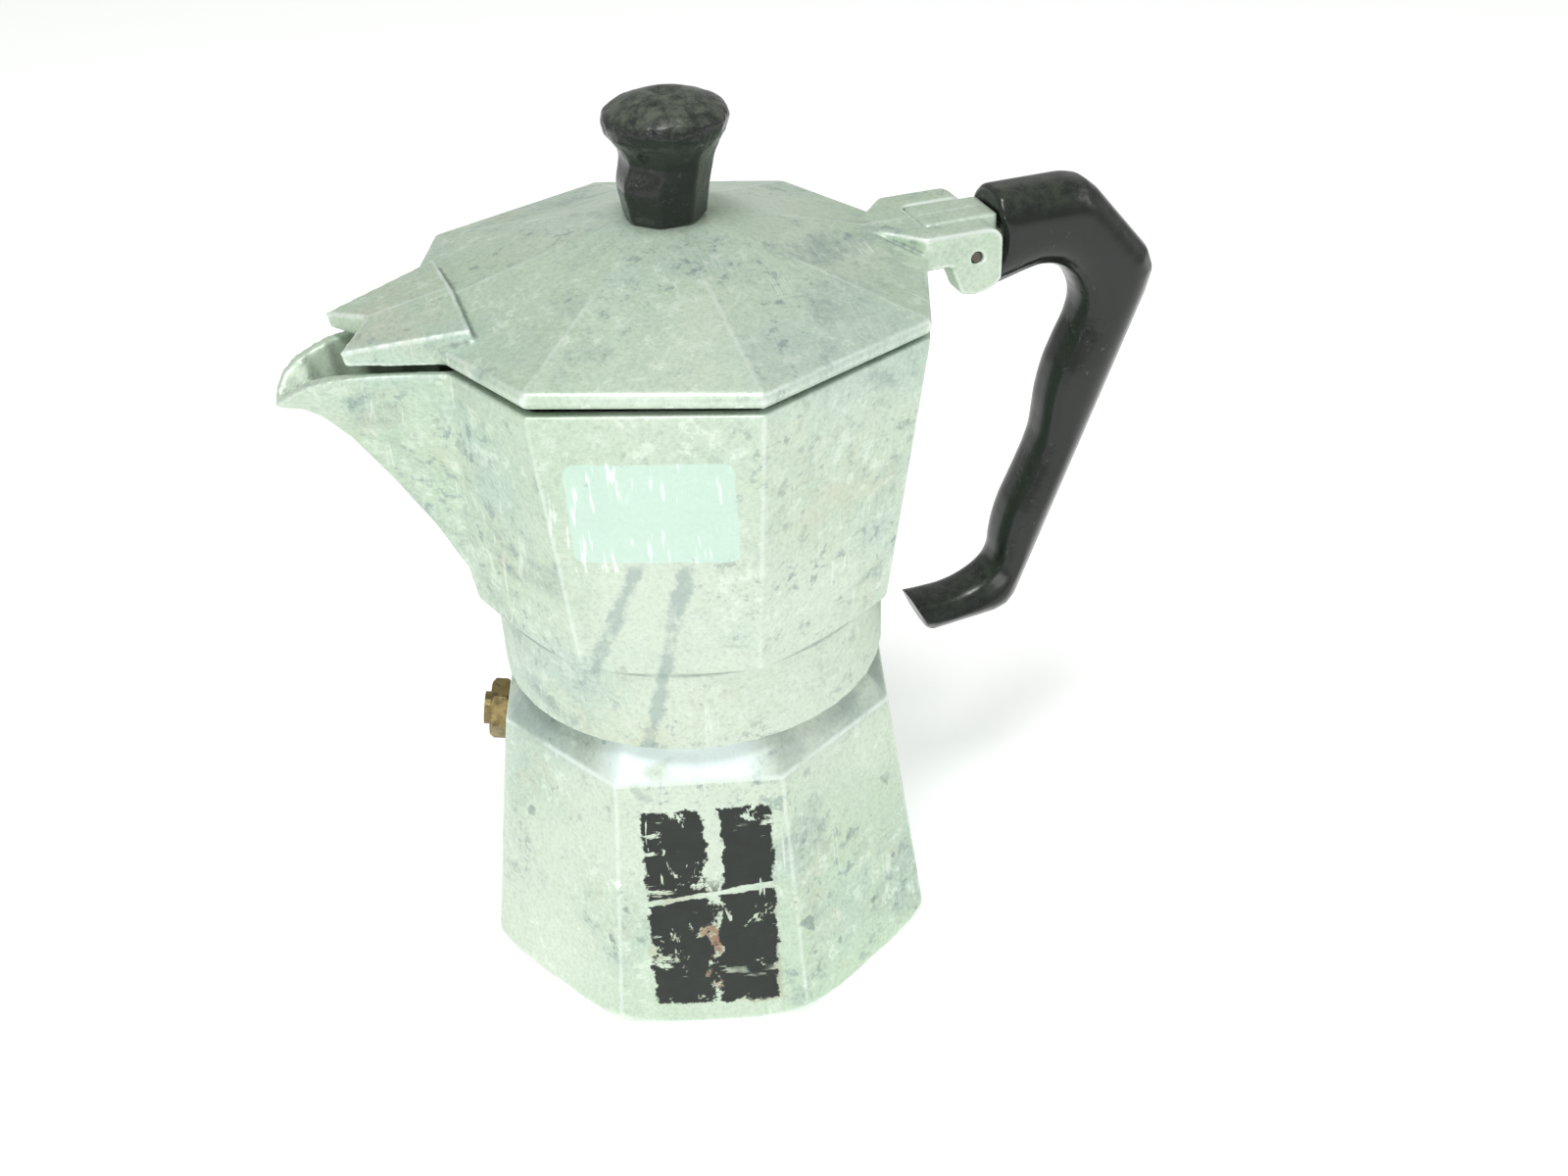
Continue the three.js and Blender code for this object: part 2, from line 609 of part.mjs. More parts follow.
function collector() {
  const facets = turned([
    [0, collectorLow - TURNED_EDGE_RISE], [collectorRadiusAt(collectorLow - TURNED_EDGE_RISE),
      collectorLow - TURNED_EDGE_RISE], [collectorRimR, collectorRim], [0, collectorRim],
  ], SIDES);
  const coneWidth = collectorLowR - skirtR;
  const turnedEdge = turned([
    [0, collectorLow - TURNED_EDGE_RISE], [skirtR, collectorLow - TURNED_EDGE_RISE],
    [skirtR + 4 * coneWidth, collectorLow + 3 * TURNED_EDGE_RISE],
    [collectorRimR + skirtR, collectorRim], [collectorRimR + skirtR, collectorRim + OVERCUT],
    [0, collectorRim + OVERCUT],
  ]);
  const skirt = turned([
    [0, skirtBottom], [skirtR, skirtBottom], [skirtR, collectorLow - TURNED_EDGE_RISE / 2],
    [0, collectorLow - TURNED_EDGE_RISE / 2],
  ]);
  const innerAt = (z) => collectorRadiusAt(z) - COLLECTOR_WALL;
  const chamber = turned([
    [BOSS_R, floorCentreTop], [innerAt(floorOuterTop), floorOuterTop],
    [innerAt(collectorRim + OVERCUT), collectorRim + OVERCUT],
    [0, collectorRim + OVERCUT], [0, bossTop], [BOSS_R, bossTop],
  ], SIDES);
  const underside = turned([
    [0, skirtBottom - OVERCUT], [skirtBoreR, skirtBottom - OVERCUT], [skirtBoreR, filterZ],
    [filterRecessR, filterZ], [filterRecessR, filterSeatZ], [gasketBoreR, filterSeatZ],
    [columnFitR, floorCentreTop - FLOOR_CONE_THICK], [columnFitR, bossTop + OVERCUT], [0, bossTop + OVERCUT],
  ]);
  return facets.intersect(turnedEdge).add(skirt).add(spoutSolid()).subtract(chamber)
    .subtract(spoutChannel()).add(lug()).subtract(underside);
}

add('collector', collector(), castAluminium());

function riserColumn() {
  const collar = 1.6;
  const shoulder = bossTop + SEAT_GAP;
  const wallTop = columnTop - 3;
  const outside = turned([
    [0, columnFootZ], [COLUMN_R, columnFootZ], [COLUMN_R, shoulder], [COLUMN_COLLAR_R, shoulder],
    [COLUMN_COLLAR_R, shoulder + collar], [COLUMN_R + 0.6, wallTop], [COLUMN_R - 1, columnTop - 0.6],
    [0, columnTop],
  ], 24);
  const bore = turned([
    [0, columnFootZ - OVERCUT], [COLUMN_BORE_R, columnFootZ - OVERCUT], [COLUMN_BORE_R, wallTop - 1],
    [0, wallTop],
  ], SMALL);
  const windowHalf = COLUMN_BORE_R * 0.7;
  const window = block(
    [-windowHalf, -COLUMN_COLLAR_R, wallTop - 1.5 - COLUMN_WINDOW_HEIGHT],
    [windowHalf, COLUMN_COLLAR_R, wallTop - 1.5],
  );
  return outside.subtract(bore).subtract(window);
}

add('riser_column', riserColumn(), castAluminium());

// ---------------------------------------------------------------- lid
// The lid, its knob and the knob's fasteners are drawn shut and then turned
// about the pin to the angle at which the lid rests.
const lidGroup = new THREE.Group();
lidGroup.position.set(pinX, 0, pinZ);
lidGroup.rotation.y = degrees(LID_REST_TILT);
pot.add(lidGroup);
const shut = new THREE.Group();
shut.position.set(-pinX, 0, -pinZ);
lidGroup.add(shut);

function lidShell() {
  const widest = lidBottom + LID_RIM_THICK / 2;
  return turned([
    [0, lidBottom], [lidRimR - LID_DRAFT, lidBottom], [lidRimR, widest],
    [lidRimR - LID_DRAFT / 2, lidRimTop], [LID_SEAT_R, lidSeatZ], [0, lidSeatZ],
  ], SIDES);
}

function lidHollow() {
  const rimInnerR = lidRimR - LID_DRAFT - COLLECTOR_WALL;
  const rise = LID_RISE - LID_SHEET;
  return turned([
    [0, lidBottom - OVERCUT], [rimInnerR, lidBottom - OVERCUT], [rimInnerR, lidRimTop - LID_SHEET],
    [LID_SEAT_R, lidRimTop + rise - 0.2], [0, lidRimTop + rise],
  ], SIDES);
}

// The fish-tail tab over the spout: a ridge runs along its middle.
function lidTab() {
  const tipX = -lidRimR - TAB_REACH;
  const rootX = -lidRimR * facetInset + 3;
  const outline = polygon([
    [rootX + 4, -TAB_ROOT_HALF - 1.5], [rootX, -TAB_ROOT_HALF], [tipX, -TAB_TIP_HALF],
    [tipX + TAB_NOTCH, 0], [tipX, TAB_TIP_HALF], [rootX, TAB_ROOT_HALF],
    [rootX + 4, TAB_ROOT_HALF + 1.5],
  ].reverse());
  const raw = plate(outline, lidBottom, lidSeatZ);
  const ridgeRise = 1.2;
  const length = 40;
  const roof = [
    [-TAB_ROOT_HALF - 3, -LID_RISE], [TAB_ROOT_HALF + 3, -LID_RISE], [TAB_ROOT_HALF + 3, -ridgeRise],
    [0, 0], [-TAB_ROOT_HALF - 3, -ridgeRise],
  ];
  const geometry = new THREE.ExtrudeGeometry(polygon(roof), { depth: length, bevelEnabled: false });
  geometry.rotateX(Math.PI / 2);
  geometry.rotateZ(Math.PI / 2);
  geometry.rotateY(degrees(-TAB_SLOPE));
  geometry.translate(tipX, 0, lidBottom + TAB_TIP_THICK + ridgeRise / 2);
  return raw.intersect(solid(geometry)).subtract(lidHollow());
}

function hingeArm() {
  const apexX = armShoulderX - ARM_TAPER_LENGTH;
  const plan = plate(polygon([
    [apexX, 0], [armShoulderX, -ARM_HALF], [armEndX - ARM_CHAMFER, -ARM_HALF],
    [armEndX, -ARM_HALF + ARM_CHAMFER], [armEndX, ARM_HALF - ARM_CHAMFER],
    [armEndX - ARM_CHAMFER, ARM_HALF], [armShoulderX, ARM_HALF],
  ]), lidBottom, armTop);
  const cornerR = 3.2;
  const side = new THREE.Shape();
  side.moveTo(apexX, lidBottom);
  side.lineTo(armEndX, lidBottom);
  side.lineTo(armEndX, armTop - cornerR);
  side.absarc(armEndX - cornerR, armTop - cornerR, cornerR, 0, Math.PI / 2, false);
  side.lineTo(apexX, armTop);
  return plan.intersect(slab(side, 2 * ARM_HALF + 2 * OVERCUT, 4));
}

function hingeKnuckle() {
  const low = pinZ - KNUCKLE_R;
  const flatX = pinX - KNUCKLE_FLAT_BACK;
  const shape = polygon([
    [flatX - 0.6, lidBottom + 1], [flatX, lidBottom - 1], [pinX - 2, low - OVERCUT],
    [armEndX, low - OVERCUT], [armEndX, lidBottom + 1],
  ]);
  const partingStep = 0.35;
  const half = ARM_HALF - partingStep;
  return crossBar(KNUCKLE_R, half, pinX, pinZ, 32).intersect(slab(shape, 2 * half));
}

function lid() {
  const slot = crossBar(slotEndR, slotHalf, pinX, pinZ, 40)
    .add(block([pinX, -slotHalf, pinZ - slotEndR], [armEndX + OVERCUT, slotHalf, armTop + OVERCUT]));
  const pinHole = crossBar(pinHoleR, ARM_HALF + OVERCUT, pinX, pinZ);
  const screwHole = turned([
    [0, lidBottom], [screwBoreR, lidBottom], [screwBoreR, lidSeatZ + OVERCUT], [0, lidSeatZ + OVERCUT],
  ], SMALL);
  return lidShell().add(lidTab()).add(hingeArm()).subtract(lidHollow()).add(hingeKnuckle())
    .subtract(slot).subtract(pinHole).subtract(screwHole);
}

add('lid', lid(), castAluminium(), shut);

function knob() {
  const up = (fraction) => knobZ + fraction * KNOB_HEIGHT;
  const grip = turned([
    [0, knobZ], [KNOB_BASE_R, knobZ], [KNOB_BASE_R + 0.5, up(0.27)], [KNOB_BASE_R + 1.2, up(0.5)],
    [KNOB_BASE_R + 2.1, up(0.62)], [0, up(0.62)],
  ], SIDES, degrees(180 / SIDES));
  const cap = turned([
    [0, up(0.45)], [KNOB_CAP_R - 2.9, up(0.48)], [KNOB_CAP_R - 1.6, up(0.61)], [KNOB_CAP_R - 0.5, up(0.7)],
    [KNOB_CAP_R, up(0.785)], [KNOB_CAP_R - 0.4, up(0.85)], [KNOB_CAP_R - 2, up(0.905)],
    [KNOB_CAP_R - 5, up(0.96)], [KNOB_CAP_R - 7.6, up(1)], [0, up(0.965)],
  ], 32);
  const hole = turned([
    [0, knobZ - OVERCUT], [screwBoreR, knobZ - OVERCUT], [screwBoreR, knobHoleTop], [0, knobHoleTop],
  ], SMALL);
  return grip.add(cap).subtract(hole);
}

function knobScrew() {
  const headTop = washerTop - WASHER_THICK - SEAT_GAP;
  const headLow = headTop - KNOB_SCREW_HEAD;
  const tip = knobHoleTop - OVERCUT;
  const screw = turned([
    [0, headLow], [KNOB_SCREW_HEAD_R - 0.6, headLow], [KNOB_SCREW_HEAD_R, headLow + 0.8],
    [KNOB_SCREW_HEAD_R, headTop], [KNOB_SCREW_R, headTop], [KNOB_SCREW_R, tip], [0, tip],
  ], SMALL);
  const driveSlot = block(
    [-0.5, -KNOB_SCREW_HEAD_R, headLow - OVERCUT], [0.5, KNOB_SCREW_HEAD_R, headLow + 0.9],
  );
  return screw.subtract(driveSlot);
}

function knobWasher() {
  const low = washerTop - WASHER_THICK;
  return turned([[screwBoreR, low], [WASHER_R, low], [WASHER_R, washerTop], [screwBoreR, washerTop]], 24);
}

add('lid_knob', knob(), bakelite(), shut);
add('knob_screw', knobScrew(), steel(), shut);
add('knob_washer', knobWasher(), steel(), shut);

add('hinge_pin', crossBar(PIN_R, ARM_HALF - PIN_RECESS, pinX, pinZ, 16), steel());

// ---------------------------------------------------------------- handle
// The handle's side view, with the hinge pin at the origin: a straight upper
// arm, a sloping back, a straight grip and a short hook at the foot. The inner
// edge waves for the fingers.
function handleOutline() {
  const shape = new THREE.Shape();
  shape.moveTo(HANDLE_FRONT_OUT, HANDLE_RISE);
  shape.lineTo(3.8, -9.8);
  shape.splineThru([
    [9.6, -8.4], [16.1, -7.0], [21.0, -9.0], [24.0, -13.8], [24.0, -18.6], [20.4, -26.8],
    [18.6, -34.2], [17.8, -42.0], [14.9, -49.6], [12.0, -56.2], [10.5, -62.2], [9.9, -67.4], [6.4, -70.6],
    [0.8, -72.4], [-7.2, -72.4],
  ].map(([x, z]) => new THREE.Vector2(x, z)));
  shape.lineTo(-4.2, -79.6);
  shape.lineTo(9.6, -78.6);
  shape.quadraticCurveTo(13.2, -78.2, 14.5, -75.2);
  shape.lineTo(37.6, -15.6);
  shape.quadraticCurveTo(40.1, -10.5, 37.4, -7.2);
  shape.lineTo(26.6, 5.2);
  shape.quadraticCurveTo(24.4, HANDLE_RISE, 21.4, HANDLE_RISE);
  return shape;
}

function handle() {
  const geometry = new THREE.ExtrudeGeometry(handleOutline(), {
    depth: 2 * (HANDLE_HALF - HANDLE_EDGE),
    bevelThickness: HANDLE_EDGE,
    bevelSize: HANDLE_EDGE,
    bevelOffset: -HANDLE_EDGE,
    bevelSegments: 2,
    curveSegments: 2,
  });
  geometry.translate(0, 0, -(HANDLE_HALF - HANDLE_EDGE));
  geometry.rotateX(Math.PI / 2);
  geometry.translate(pinX, 0, pinZ);
  const pocket = block(
    [pinX, -TONGUE_HALF - SEAT_GAP, tongueLow - SEAT_GAP],
    [tongueEndX + SEAT_GAP, TONGUE_HALF + SEAT_GAP, tongueHigh + SEAT_GAP],
  );
  const mouth = crossBar(handleClearR, HANDLE_HALF + OVERCUT, pinX, pinZ, 40);
  const lugRoom = block(
    [pinX, -slotHalf, tongueLow - SEAT_GAP], [lugEndX + SEAT_GAP, slotHalf, pinZ + HANDLE_RISE + OVERCUT],
  );
  const headRoomR = HANDLE_SCREW_HEAD_R + SEAT_GAP;
  const shankRoomR = HANDLE_SCREW_R + SEAT_GAP;
  const screwMouth = handleScrewHeadTop - 4 * HANDLE_SCREW_HEAD_R;
  const screwRoom = turned([
    [0, screwMouth], [headRoomR, screwMouth], [headRoomR, handleScrewHeadTop + SEAT_GAP],
    [shankRoomR, handleScrewHeadTop + SEAT_GAP], [shankRoomR, tongueHigh], [0, tongueHigh],
  ], SMALL).translate([handleScrewX, 0, 0]);
  return solid(geometry).subtract(pocket).subtract(mouth).subtract(lugRoom).subtract(screwRoom);
}

function handleScrew() {
  const headLow = handleScrewHeadTop - HANDLE_SCREW_HEAD;
  const tip = tongueHigh - 2 * SEAT_GAP;
  return turned([
    [0, headLow], [HANDLE_SCREW_HEAD_R, headLow], [HANDLE_SCREW_HEAD_R, handleScrewHeadTop],
    [HANDLE_SCREW_R, handleScrewHeadTop], [HANDLE_SCREW_R, tip], [0, tip],
  ], SMALL).translate([handleScrewX, 0, 0]);
}

add('handle', handle(), bakelite());
add('handle_screw', handleScrew(), steel());

export default pot;
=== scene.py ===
# Looks for the octagonal moka pot: worn cast aluminium, Bakelite handle and
# knob, brass safety valve, on a pale studio floor. Metres, in the CAD frame.
import json
import math

import bpy
import numpy as np
from mathutils import Matrix, Vector, noise
from mathutils.kdtree import KDTree


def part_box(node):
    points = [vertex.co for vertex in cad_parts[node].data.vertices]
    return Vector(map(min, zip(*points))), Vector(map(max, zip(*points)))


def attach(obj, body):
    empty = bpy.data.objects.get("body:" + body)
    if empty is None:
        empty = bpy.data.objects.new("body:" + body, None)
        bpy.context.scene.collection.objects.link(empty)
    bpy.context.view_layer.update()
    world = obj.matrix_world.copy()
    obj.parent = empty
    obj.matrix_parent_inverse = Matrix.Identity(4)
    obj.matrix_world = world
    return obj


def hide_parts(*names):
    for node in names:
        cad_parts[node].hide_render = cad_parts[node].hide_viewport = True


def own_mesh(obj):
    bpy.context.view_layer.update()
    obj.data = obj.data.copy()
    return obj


MM = 0.001
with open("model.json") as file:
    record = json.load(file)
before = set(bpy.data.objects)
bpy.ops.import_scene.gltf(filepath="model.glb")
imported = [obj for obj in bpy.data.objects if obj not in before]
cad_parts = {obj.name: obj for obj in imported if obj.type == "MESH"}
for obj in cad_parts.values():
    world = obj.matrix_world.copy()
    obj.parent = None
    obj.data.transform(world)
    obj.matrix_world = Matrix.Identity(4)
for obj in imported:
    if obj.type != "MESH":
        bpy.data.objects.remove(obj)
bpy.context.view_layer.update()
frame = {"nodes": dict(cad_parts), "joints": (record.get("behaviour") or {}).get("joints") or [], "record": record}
nodes = frame["nodes"]
body_of_node = {
    node: body
    for body, members in frame["record"]["behaviour"]["bodies"].items()
    for node in members
}


# ---------------------------------------------------------------- camera
# The camera stands in front of the pot, a little to the spout's side, and
# looks down at it.
CAMERA_PLACE = Vector((-69.9, -248.8, 243.0)) * MM
CAMERA_AZIMUTH = -19.43
CAMERA_ELEVATION = 34.24
CAMERA_ROLL = -2.02
SENSOR_WIDTH = 36.0
LENS = 39.38


def make_camera():
    azimuth, elevation, roll = (
        math.radians(a) for a in (CAMERA_AZIMUTH, CAMERA_ELEVATION, CAMERA_ROLL)
    )
    back = Vector((
        math.sin(azimuth) * math.cos(elevation),
        -math.cos(azimuth) * math.cos(elevation),
        math.sin(elevation),
    ))
    level = (-back).cross(Vector((0, 0, 1))).normalized()
    upright = level.cross(-back).normalized()
    right = level * math.cos(roll) + upright * math.sin(roll)
    up = upright * math.cos(roll) - level * math.sin(roll)
    data = bpy.data.cameras.new("camera")
    data.sensor_width = SENSOR_WIDTH
    data.lens = LENS
    data.clip_start = 0.01
    camera = bpy.data.objects.new("camera", data)
    turn = Matrix((right, up, back)).transposed()
    camera.matrix_world = Matrix.Translation(CAMERA_PLACE) @ turn.to_4x4()
    bpy.context.scene.collection.objects.link(camera)
    bpy.context.scene.camera = camera


# ---------------------------------------------------------------- studio
def area_light(name, place, target, size, power):
    data = bpy.data.lights.new(name, "AREA")
    data.shape = "RECTANGLE"
    data.size, data.size_y = size
    data.energy = power
    light = bpy.data.objects.new(name, data)
    light.location = place
    direction = Vector(target) - Vector(place)
    light.rotation_euler = direction.to_track_quat("-Z", "Y").to_euler()
    bpy.context.scene.collection.objects.link(light)


def make_studio():
    world = bpy.data.worlds.new("studio")
    world.use_nodes = True
    background = world.node_tree.nodes["Background"]
    background.inputs["Color"].default_value = (0.97, 1.0, 0.97, 1)
    background.inputs["Strength"].default_value = 0.48
    bpy.context.scene.world = world
    bpy.context.scene.view_settings.view_transform = "Standard"
    middle = (0, 0, 0.08)
    area_light("key", (-0.50, -0.85, 0.45), middle, (0.35, 0.35), 1.5)
    area_light("top", (-0.15, -0.28, 1.05), middle, (0.3, 0.3), 5.4)
    area_light("side", (0.85, -0.45, 0.55), middle, (0.25, 0.5), 1.0)
    area_light("left", (-0.85, -0.15, 0.40), middle, (0.25, 0.5), 0.5)


def make_floor():
    mesh = bpy.data.meshes.new("floor")
    half = 3.0
    corners = [(-half, -half, 0), (half, -half, 0), (half, half, 0), (-half, half, 0)]
    mesh.from_pydata(corners, [], [(0, 1, 2, 3)])
    floor = bpy.data.objects.new("floor", mesh)
    bpy.context.scene.collection.objects.link(floor)
    floor.data.materials.append(floor_material())


# ---------------------------------------------------------------- node helpers
class Tree:
    """A material's node tree, with short calls for the nodes used here."""

    def __init__(self, name):
        self.material = bpy.data.materials.new(name)
        self.material.use_nodes = True
        self.tree = self.material.node_tree
        self.shader = self.tree.nodes["Principled BSDF"]
        self.place = self.add("ShaderNodeTexCoord").outputs["Object"]

    def add(self, kind):
        return self.tree.nodes.new(kind)

    def link(self, source, target):
        if hasattr(source, "links"):
            self.tree.links.new(source, target)
        elif isinstance(source, (tuple, list)) and len(target.default_value) == 4:
            target.default_value = (*source[:3], 1.0)
        else:
            target.default_value = source

    def math(self, operation, a, b=0.0, clamp=False):
        node = self.add("ShaderNodeMath")
        node.operation = operation
        node.use_clamp = clamp
        self.link(a, node.inputs[0])
        self.link(b, node.inputs[1])
        return node.outputs[0]

    def times(self, a, b):
        return self.math("MULTIPLY", a, b)

    def plus(self, a, b):
        return self.math("ADD", a, b)

    def minus(self, a, b, clamp=False):
        return self.math("SUBTRACT", a, b, clamp)

    def larger(self, a, b):
        return self.math("MAXIMUM", a, b)

    def distance(self, a, b):
        return self.math("ABSOLUTE", self.minus(a, b))

    def sway(self, noise, width):
        """A noise's swing about its middle, stretched to width in all."""
        return self.times(self.minus(noise, 0.5), width)

    def stretch(self, scale, turn=(0, 0, 0)):
        node = self.add("ShaderNodeMapping")
        self.link(self.place, node.inputs["Vector"])
        node.inputs["Scale"].default_value = scale
        node.inputs["Rotation"].default_value = turn
        return node.outputs[0]

    def noise(self, scale, detail=4.0, rough=0.55, place=None, warp=0.0):
        node = self.add("ShaderNodeTexNoise")
        self.link(place or self.place, node.inputs["Vector"])
        node.inputs["Scale"].default_value = scale
        node.inputs["Detail"].default_value = detail
        node.inputs["Roughness"].default_value = rough
        node.inputs["Distortion"].default_value = warp
        return node.outputs["Fac"]

    def ramp(self, value, low, high, smooth=True):
        """0 below low and 1 above high, or the reverse where low is larger."""
        node = self.add("ShaderNodeMapRange")
        node.interpolation_type = "SMOOTHSTEP" if smooth else "LINEAR"
        self.link(value, node.inputs["Value"])
        flipped = low > high
        node.inputs["From Min"].default_value = min(low, high)
        node.inputs["From Max"].default_value = max(low, high)
        node.inputs["To Min"].default_value = 1.0 if flipped else 0.0
        node.inputs["To Max"].default_value = 0.0 if flipped else 1.0
        return node.outputs["Result"]

    def mix(self, amount, a, b):
        node = self.add("ShaderNodeMix")
        node.data_type = "RGBA"
        self.link(amount, node.inputs["Factor"])
        self.link(a, node.inputs[6])
        self.link(b, node.inputs[7])
        return node.outputs[2]

    def stain(self, colour, mask, amount, paint):
        """colour with amount of paint over it where mask is 1."""
        return self.mix(self.times(mask, amount), colour, paint)

    def edges(self):
        return self.add("ShaderNodeNewGeometry").outputs["Pointiness"]

    def dot(self, direction):
        node = self.add("ShaderNodeVectorMath")
        node.operation = "DOT_PRODUCT"
        self.link(self.place, node.inputs[0])
        node.inputs[1].default_value = direction
        return node.outputs["Value"]

    def bump(self, height, strength, distance, under=None):
        node = self.add("ShaderNodeBump")
        node.inputs["Strength"].default_value = strength
        node.inputs["Distance"].default_value = distance
        self.link(height, node.inputs["Height"])
        if under is not None:
            self.link(under, node.inputs["Normal"])
        return node.outputs["Normal"]

    def finish(self, colour, roughness, normal=None, metallic=None):
        self.link(colour, self.shader.inputs["Base Color"])
        self.link(roughness, self.shader.inputs["Roughness"])
        if normal is not None:
            self.link(normal, self.shader.inputs["Normal"])
        if metallic is not None:
            self.link(metallic, self.shader.inputs["Metallic"])
        return self.material


def floor_material():
    t = Tree("floor_paper")
    grain = t.noise(420, 3)
    colour = t.mix(grain, (0.93, 0.94, 0.93), (0.97, 0.98, 0.97))
    t.shader.inputs["Emission Color"].default_value = (1, 1, 1, 1)
    t.shader.inputs["Emission Strength"].default_value = 0.34
    return t.finish(colour, 0.75, t.bump(grain, 0.1, 0.0002))


# ---------------------------------------------------------------- aluminium
FACET_DEPTH = 1.0 * MM        # how far below a facet's face its patch still shows


def facet_patch(t, angle, lean, reach, box, wander=1.2 * MM, corner=0.4 * MM):
    """1 inside a rectangle on one facet, and how far along and up it lies.
    box is (left, right, low, high) along the facet; reach is the facet's
    distance from the axis at height 0, and lean its rise in distance."""
    a = math.radians(angle)
    left, right, low, high = (value * MM for value in box)
    along = t.dot((-math.sin(a), math.cos(a), 0))
    outwards = t.dot((math.cos(a), math.sin(a), -lean))
    height = t.dot(UP)
    ragged = t.sway(t.noise(260, 7, 0.75), wander)
    soft = 0.15 * MM
    beyond = []
    for value, start, end in ((along, left, right), (height, low, high)):
        off = t.minus(t.plus(value, ragged), (start + end) / 2)
        over = t.minus(t.math("ABSOLUTE", off), (end - start) / 2 - corner)
        beyond.append(t.larger(over, 0.0))
    far = t.plus(*(t.times(over, over) for over in beyond))
    inside = t.ramp(t.math("SQRT", far), corner + soft, corner - soft, smooth=False)
    facet = t.ramp(outwards, reach - FACET_DEPTH - soft, reach - FACET_DEPTH, smooth=False)
    mask = t.times(inside, facet)
    return mask, along, height


def cast_aluminium(name, patch=None, pitting=0.5, twist=0.0, foot=0.0, rubbed=1.0):
    """Oxidised cast aluminium: pale, blotched and stained, with a fine grain, pits, light flecks, brighter rubbed
    edges, painted highlights along the facets' ridges and painted shade in the creases. twist and foot place the
    facets' ridges, and rubbed is how bright the other edges are."""
    t = Tree(name)
    cloud = t.noise(16, 5, 0.55)
    blotch = t.noise(42, 8, 0.68, warp=0.4)
    grain = t.noise(1300, 3, 0.75)
    speck = t.noise(330, 6, 0.72)
    pale = (0.64, 0.72, 0.615)
    green = (0.53, 0.65, 0.51)
    blue = (0.46, 0.585, 0.53)
    warm = (0.60, 0.60, 0.47)
    grey = (0.25, 0.33, 0.32)
    colour = t.mix(t.ramp(cloud, 0.36, 0.62), pale, green)
    colour = t.stain(colour, t.ramp(t.noise(26, 6, 0.6), 0.50, 0.68), 0.55, blue)
    colour = t.stain(colour, t.ramp(t.noise(31, 7, 0.7), 0.54, 0.70), 0.55, warm)
    colour = t.stain(colour, t.ramp(blotch, 0.54, 0.71), 0.60, grey)
    fleck = t.times(t.ramp(speck, 0.53, 0.63), t.ramp(t.noise(48, 4), 0.38, 0.60))
    colour = t.stain(colour, fleck, 0.42, (0.84, 0.92, 0.83))
    mark = t.times(t.ramp(speck, 0.45, 0.36), t.ramp(t.noise(37, 4), 0.42, 0.62))
    colour = t.stain(colour, mark, 0.70, grey)
    runs = t.noise(60, 5, 0.65, place=t.stretch((1, 1, 0.12)))
    colour = t.stain(colour, t.ramp(runs, 0.60, 0.72), 0.30, grey)
    pit_zone = t.ramp(t.noise(30, 3), 0.47, 0.60)
    pit = t.times(t.ramp(t.noise(210, 3, 0.5), 0.36, 0.30), pit_zone)
    pit = t.times(pit, pitting)
    colour = t.stain(colour, pit, 0.8, (0.22, 0.29, 0.27))
    for side, tint in (((grain, 0.5), (0.9, 0.95, 0.9)), ((0.5, grain), (0.1, 0.13, 0.11))):
        amount = t.math("MULTIPLY", t.minus(*side), 0.9, clamp=True)
        colour = t.mix(amount, colour, tint)
    scratch = scratches(t)
    colour = t.stain(colour, scratch, 0.4, (0.88, 0.93, 0.88))
    pale_edges = t.times(t.ramp(t.edges(), 0.508, 0.540), rubbed)
    # painted highlight: the facets' ridges are lightened along with the rubbed edges
    pale_edges = t.larger(pale_edges, t.times(ridges(t, twist, foot), 0.42))
    pale_edges = t.times(pale_edges, t.ramp(t.noise(110, 4), 0.30, 0.55))
    colour = t.stain(colour, pale_edges, 0.75, (0.88, 0.95, 0.90))
    # painted shade: darker in the concave creases, where pointiness is low
    darkening = t.ramp(t.edges(), 0.494, 0.462)
    colour = t.stain(colour, darkening, 0.75, (0.13, 0.17, 0.15))
    rough = t.plus(t.times(blotch, 0.25), 0.38)
    rough = t.minus(rough, t.times(pale_edges, 0.12))
    metallic = 0.45
    height = t.plus(t.times(grain, 0.35), t.times(speck, 0.5))
    height = t.minus(height, t.times(pit, 0.9))
    height = t.minus(height, t.times(scratch, 0.2))
    normal = t.bump(height, 0.45, 0.0003)
    if patch is not None:
        colour, rough, metallic = patch(t, colour, rough, metallic)
    t.shader.inputs["IOR"].default_value = 1.45
    return t.finish(colour, rough, normal, metallic)


def ridges(t, twist, foot):
    """1 along the eight lines where the facets meet, fading over a millimetre; cast_aluminium paints a highlight
    along them.
    twist is how many degrees the first one stands past +X, and foot is the
    height in millimetres where they start."""
    axes = t.add("ShaderNodeSeparateXYZ")
    t.link(t.place, axes.inputs[0])
    x, y = axes.outputs["X"], axes.outputs["Y"]
    angle = t.minus(t.math("ARCTAN2", y, x), math.radians(twist))
    aside = t.math("PINGPONG", angle, math.pi / 8)
    outwards = t.math("SQRT", t.plus(t.times(x, x), t.times(y, y)))
    wander = t.sway(t.noise(400, 3), 0.5 * MM)
    line = t.ramp(t.plus(t.times(aside, outwards), wander), 0.60 * MM, 0.1 * MM)
    line = t.times(line, t.ramp(t.dot(UP), (foot - 0.5) * MM, (foot + 0.5) * MM))
    return t.times(line, t.ramp(outwards, 11 * MM, 24 * MM))


